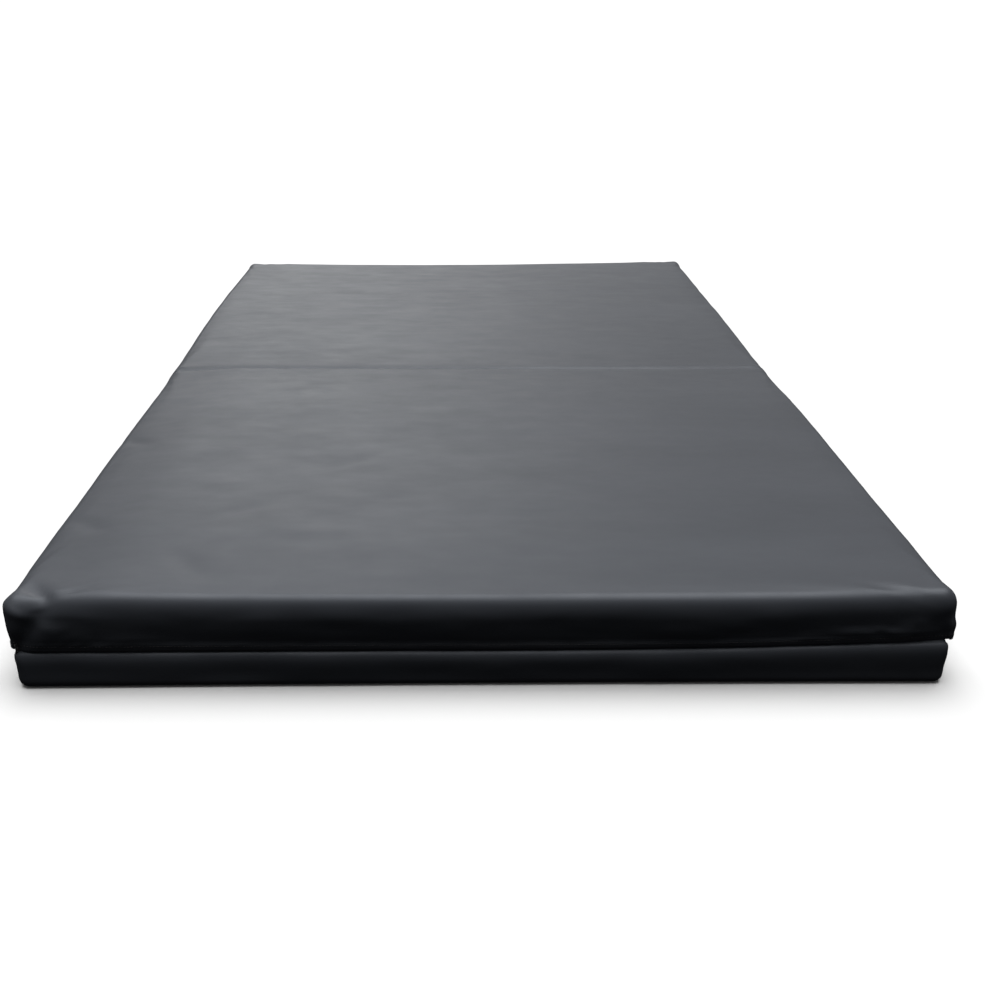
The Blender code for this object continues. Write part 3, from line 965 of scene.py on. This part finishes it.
def zip_place(points):
    """The zip runs straight along the long sides, for the slider. It follows the soft outline at the end."""
    at_end = outward(points)[:, 1:2] ** 2
    return points + (soften(points) - points) * at_end + hem_lift(points)[:, None] * (0, 0, 0.8) * at_end


def zip_tape(name, side, profile, thickness, look):
    """One tape of the zip, carried round the panel's three outer sides."""
    rows = [row[2:-2] for row in carried(side, profile)]
    points = np.concatenate([zip_place(row) for row in rows])
    obj = mesh_object(name, points, strip_faces(len(rows), len(rows[0])), look)
    flip_if_inward(obj)
    return thicken(obj, thickness)


def along_path(points, pitch):
    """Places every pitch along a line of points, with their directions."""
    steps = np.linalg.norm(np.diff(points, axis=0), axis=1)
    length = np.concatenate([[0], np.cumsum(steps)])
    count = int(length[-1] / pitch)
    stops = (np.arange(count) + 0.5) * length[-1] / count
    where = np.stack([np.interp(stops, length, points[:, k]) for k in range(3)], axis=1)
    before = np.stack([np.interp(stops - pitch / 4, length, points[:, k]) for k in range(3)], axis=1)
    after = np.stack([np.interp(stops + pitch / 4, length, points[:, k]) for k in range(3)], axis=1)
    heading = after - before
    return where, heading / np.linalg.norm(heading, axis=1, keepdims=True)


def copies(name, outline, faces, places, axes, look, shade_smooth=False):
    """One mesh with a copy of a small shape at each place. outline's points are in each copy's own axes."""
    outline = np.array(outline)
    points = np.einsum("pk,nkc->npc", outline, axes) + places[:, None, :]
    count = len(outline)
    repeated = [tuple(v + n * count for v in face) for n in range(len(places)) for face in faces]
    return mesh_object(name, points.reshape(-1, 3), repeated, look, shade_smooth)


def zip_teeth(name, side, centre_z, towards, look):
    """A row of moulded teeth. Each has a foot on its tape and a narrower head towards the other row."""
    row = zip_place(carried(side, [(ZIP_INSET, centre_z)])[0])
    row = row[np.abs(row[:, 1]) > TEETH_START]
    places, heading = along_path(row, TOOTH_PITCH)
    if towards > 0:
        places = places + heading * TOOTH_PITCH / 2
    up = np.tile((0.0, 0.0, 1.0), (len(places), 1)) * towards
    out = np.cross(heading, up)
    foot, head, deep = 0.00085, 0.00055, TEETH_THICKNESS / 2
    low, waist, high = -TEETH_HEIGHT / 2, TEETH_HEIGHT * 0.1, TEETH_HEIGHT / 2
    outline = []
    for z, half, depth in ((low, foot, deep), (waist, foot, deep), (high, head, deep * 0.7)):
        outline += [(-half, -depth, z), (half, -depth, z), (half, depth, z), (-half, depth, z)]
    faces = [(3, 2, 1, 0), (8, 9, 10, 11)]
    for start in (0, 4):
        faces += [(start + k, start + (k + 1) % 4, start + 4 + (k + 1) % 4, start + 4 + k) for k in range(4)]
    axes = np.stack([heading, out, up], axis=1)
    return copies(name, outline, faces, places, axes, look)


def stitches(name, path, out, look, pitch=0.0045, length=0.0034, width=0.0007, rise=0.0004):
    """A row of lockstitch along a path. Each stitch is a short rounded bar that dips in at both ends."""
    places, heading = along_path(path, pitch)
    index = np.argmin(np.linalg.norm(path[None, :, :] - places[:, None, :], axis=2), axis=1)
    normal = out[index]
    cross = np.cross(heading, normal)
    cross /= np.linalg.norm(cross, axis=1, keepdims=True)
    axes = np.stack([heading, cross, np.cross(cross, heading)], axis=1)
    sections = ((-0.5, -1.6, 0.5), (-0.36, 0.2, 0.9), (0.0, 0.6, 1.0), (0.36, 0.2, 0.9), (0.5, -1.6, 0.5))
    ring = [(math.cos(math.pi * k / 3), math.sin(math.pi * k / 3)) for k in range(6)]
    outline = []
    for share, lift, size in sections:
        high = lift * rise * 0.6
        outline += [(share * length, c * size * width / 2, high + s * size * rise) for c, s in ring]
    faces = [tuple(range(5, -1, -1)), tuple(range(24, 30))]
    for start in range(0, 24, 6):
        faces += [(start + k, start + (k + 1) % 6, start + 6 + (k + 1) % 6, start + 6 + k) for k in range(6)]
    return copies(name, outline, faces, places, axes, look, shade_smooth=True)


def surface_line(obj, rows_wanted):
    """Points and normals of a finished mesh nearest to a wanted line."""
    tree = bvhtree.BVHTree.FromObject(obj, bpy.context.evaluated_depsgraph_get())
    found, normals = [], []
    for point, direction in rows_wanted:
        hit, normal, _, _ = tree.ray_cast(Vector(point) + Vector(direction) * 0.03, -Vector(direction), 0.06)
        if hit is not None:
            found.append(tuple(hit))
            normals.append(tuple(normal))
    return np.array(found), np.array(normals)


def hem_stitches(name, cover, side, look):
    """The row of stitches that holds the turned-up hem to the zip's upper tape."""
    base, out = columns(side)
    height = HEM + HEM_FOLD * 0.62
    flat = np.column_stack([base, np.full(len(base), height)])
    moved = soften(flat)
    moved[:, 2] += hem_lift(flat)
    wanted = [((x, y, z), (ox, oy, 0)) for (x, y, z), (ox, oy) in zip(moved[1:-1], out[1:-1])]
    path, normals = surface_line(cover, wanted)
    return stitches(name, path, normals, look)


def fold_tape(name, side, look):
    """Half of the webbing that backs the top sheet at the fold."""
    xs = np.linspace(TAPE_LOW.x, TAPE_HIGH.x, 81)
    ys = side * np.linspace(-TAPE_HIGH.y, -TAPE_LOW.y, 9)
    points = np.array([(x, y, TAPE_HIGH.z - 0.0006) for y in ys for x in xs])
    x, y = points.T[:2]
    points[:, 2] -= fold_valley(x, y)
    obj = mesh_object(name, soften(points), grid_faces(len(xs), len(ys), flip=side < 0), look)
    return thicken(obj, TAPE_THICKNESS)


# ---------------------------------------------------------------- camera, floor and light


CAMERA_PLACE = (-0.043, -2.315, 0.826)
CAMERA_PITCH = 23.2
CAMERA_YAW = -2.5
CAMERA_ROLL = 0.87
CAMERA_LENS = 43.2


def camera():
    """The photograph's view: low, from in front of the mat's short end, and a little to the left."""
    pitch, yaw, roll = (math.radians(turn) for turn in (CAMERA_PITCH, CAMERA_YAW, CAMERA_ROLL))
    right = Vector((math.cos(yaw), math.sin(yaw), 0))
    forward = Vector((-math.sin(yaw), math.cos(yaw), 0))
    up_axis = Vector((0, 0, 1))
    look = forward * math.cos(pitch) - up_axis * math.sin(pitch)
    up = forward * math.sin(pitch) + up_axis * math.cos(pitch)
    turned_right = right * math.cos(roll) + up * math.sin(roll)
    turned_up = up * math.cos(roll) - right * math.sin(roll)
    data = bpy.data.cameras.new("camera")
    data.sensor_width = 36
    data.lens = CAMERA_LENS
    data.clip_end = 500
    obj = bpy.data.objects.new("camera", data)
    bpy.context.scene.collection.objects.link(obj)
    turn = Matrix((turned_right, turned_up, -look)).transposed().to_4x4()
    obj.matrix_world = Matrix.Translation(CAMERA_PLACE) @ turn
    bpy.context.scene.camera = obj


def floor():
    """A plain pale floor. It isn't mirrored in the mat, whose lower sides stay dark."""
    reach, height = 300, -0.0005
    corners = [(-reach, -reach), (reach, -reach), (reach, reach), (-reach, reach)]
    mesh = bpy.data.meshes.new("floor")
    mesh.from_pydata([(x, y, height) for x, y in corners], [], [(0, 1, 2, 3)])
    n = Nodes("floor")
    n.shader.inputs["Base Color"].default_value = (0.41, 0.41, 0.41, 1)
    n.shader.inputs["Roughness"].default_value = 0.9
    n.shader.inputs["Specular IOR Level"].default_value = 0.1
    mesh.materials.append(n.material)
    obj = bpy.data.objects.new("floor", mesh)
    bpy.context.scene.collection.objects.link(obj)
    obj.visible_glossy = False
    obj.visible_diffuse = False


def sun(name, azimuth, elevation, spread, strength):
    """A far, wide, soft light. Azimuth 0 is behind the mat and 90 is to its left."""
    data = bpy.data.lights.new(name, "SUN")
    data.angle = math.radians(spread)
    data.energy = strength
    obj = bpy.data.objects.new(name, data)
    bpy.context.scene.collection.objects.link(obj)
    a, e = math.radians(azimuth), math.radians(elevation)
    towards = Vector((-math.sin(a) * math.cos(e), math.cos(a) * math.cos(e), math.sin(e)))
    obj.rotation_euler = towards.to_track_quat("Z", "Y").to_euler()


def studio_sky():
    """A pale dome: bright above, dim behind the camera, and dark below the horizon. Seen straight, it is
    white."""
    world = bpy.data.worlds.new("world")
    bpy.context.scene.world = world
    world.use_nodes = True
    tree = world.node_tree
    where = tree.nodes.new("ShaderNodeTexCoord")
    parts = tree.nodes.new("ShaderNodeSeparateXYZ")
    tree.links.new(where.outputs["Generated"], parts.inputs["Vector"])
    levels = []
    for axis, low, high, dark, light in (("Z", -0.02, 0.02, 0.02, 0.5), ("Y", -0.6, 0.5, 0.5, 1.0)):
        step = tree.nodes.new("ShaderNodeMapRange")
        step.interpolation_type = "SMOOTHSTEP"
        for name, value in (("From Min", low), ("From Max", high), ("To Min", dark), ("To Max", light)):
            step.inputs[name].default_value = value
        tree.links.new(parts.outputs[axis], step.inputs["Value"])
        levels.append(step.outputs["Result"])
    both = tree.nodes.new("ShaderNodeMath")
    both.operation = "MULTIPLY"
    tree.links.new(levels[0], both.inputs[0])
    tree.links.new(levels[1], both.inputs[1])
    seen = tree.nodes.new("ShaderNodeLightPath")
    level = tree.nodes.new("ShaderNodeMath")
    level.operation = "MAXIMUM"
    tree.links.new(both.outputs["Value"], level.inputs[0])
    tree.links.new(seen.outputs["Is Camera Ray"], level.inputs[1])
    background = tree.nodes["Background"]
    background.inputs["Color"].default_value = (1, 1, 1, 1)
    tree.links.new(level.outputs["Value"], background.inputs["Strength"])


def lights():
    studio_sky()
    sun("overhead", azimuth=0, elevation=79, spread=60, strength=7.0)
    sun("window", azimuth=7, elevation=24, spread=20, strength=0.38)
    bpy.context.scene.view_settings.view_transform = "Standard"


# ---------------------------------------------------------------- assembly


VINYL_LOOK = vinyl_material()
BASE_LOOK = base_material()
FOAM_LOOK = foam_material()
TAPE_LOOK = woven_material("zip_tape", (0.010, 0.010, 0.011), 0.88, 0.0010)
WEBBING_LOOK = woven_material("webbing", (0.015, 0.015, 0.016), 0.84, 0.0018)
TEETH_LOOK = small_part_material("zip_teeth", (0.02, 0.02, 0.022), 0.42, 900)
METAL_LOOK = worn_metal_material()
THREAD_LOOK = small_part_material("thread", (0.012, 0.012, 0.014), 0.7, 3000)

camera()
floor()
lights()

ZIP_UPPER_PROFILE = (
    (ZIP_INSET, TEETH_UPPER[0].z + 0.0027),
    (ZIP_INSET, UPPER_TAPE_BOX[0].z + 0.005),
    (0.0088, 0.0735),
    (0.0080, 0.0775),
    (0.0076, UPPER_TAPE_BOX[1].z),
)
ZIP_LOWER_PROFILE = ((ZIP_INSET, LOWER_TAPE_BOX[0].z), (ZIP_INSET, LOWER_TAPE_BOX[1].z))


def place(obj, panel, slot, *nodes):
    """Puts a finished piece on its panel, in place of the nodes that it stands for."""
    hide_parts(*nodes)
    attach(obj, f"{panel}_panel")


def add_cover():
    """The top cover over both panels, and the stitches along its hem."""
    cover = top_cover(VINYL_LOOK)
    shape_top(cover)
    thicken(cover, VINYL)
    for panel, side in PANELS.items():
        row = hem_stitches(f"hem_stitches_{panel}", cover, side, THREAD_LOOK)
        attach(row, f"{panel}_panel")
    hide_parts("top_cover_front", "top_cover_rear")
    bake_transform(cover)


def add_panel(panel, side):
    """The lower cover, the fold wall, the foam and the webbing of one panel."""
    band = thicken(side_band(f"side_band_soft_{panel}", side, VINYL_LOOK), VINYL)
    place(band, panel, "vinyl", f"side_band_{panel}")
    base = thicken(base_sheet(f"base_sheet_soft_{panel}", side, BASE_LOOK), VINYL)
    place(base, panel, "base_vinyl", f"base_sheet_{panel}")
    wall = thicken(fold_wall(f"fold_wall_soft_{panel}", side, VINYL_LOOK), VINYL)
    place(wall, panel, "vinyl", f"fold_wall_{panel}")
    foam = foam_block(f"foam_block_{panel}", side, FOAM_LOOK)
    place(foam, panel, "foam", f"foam_core_{panel}")
    tape = fold_tape(f"fold_webbing_{panel}", side, WEBBING_LOOK)
    place(tape, panel, "webbing", f"fold_tape_{panel}")


def add_zip(panel, side):
    """One panel's tapes and teeth, and a finish for the CAD's own metal pieces."""
    upper = zip_tape(f"zip_tape_woven_upper_{panel}", side, ZIP_UPPER_PROFILE, ZIP_TAPE, TAPE_LOOK)
    place(upper, panel, "zip_tape", f"zip_tape_upper_{panel}")
    lower = zip_tape(f"zip_tape_woven_lower_{panel}", side, ZIP_LOWER_PROFILE, ZIP_TAPE, TAPE_LOOK)
    place(lower, panel, "zip_tape", f"zip_tape_lower_{panel}")
    for level, box, towards in (("upper", TEETH_UPPER, -1), ("lower", TEETH_LOWER, 1)):
        middle = (box[0].z + box[1].z) / 2
        teeth = zip_teeth(f"zip_tooth_row_{level}_{panel}", side, middle, towards, TEETH_LOOK)
        place(teeth, panel, "zip_teeth", f"zip_teeth_{level}_{panel}")
    for node in ("zip_top_stop", "zip_bottom_stop", "zip_slider", "zip_pull"):
        obj = bpy.data.objects[f"{node}_{panel}"]
        obj.data.materials.clear()
        obj.data.materials.append(METAL_LOOK)


add_cover()
for panel, side in PANELS.items():
    add_panel(panel, side)
    add_zip(panel, side)
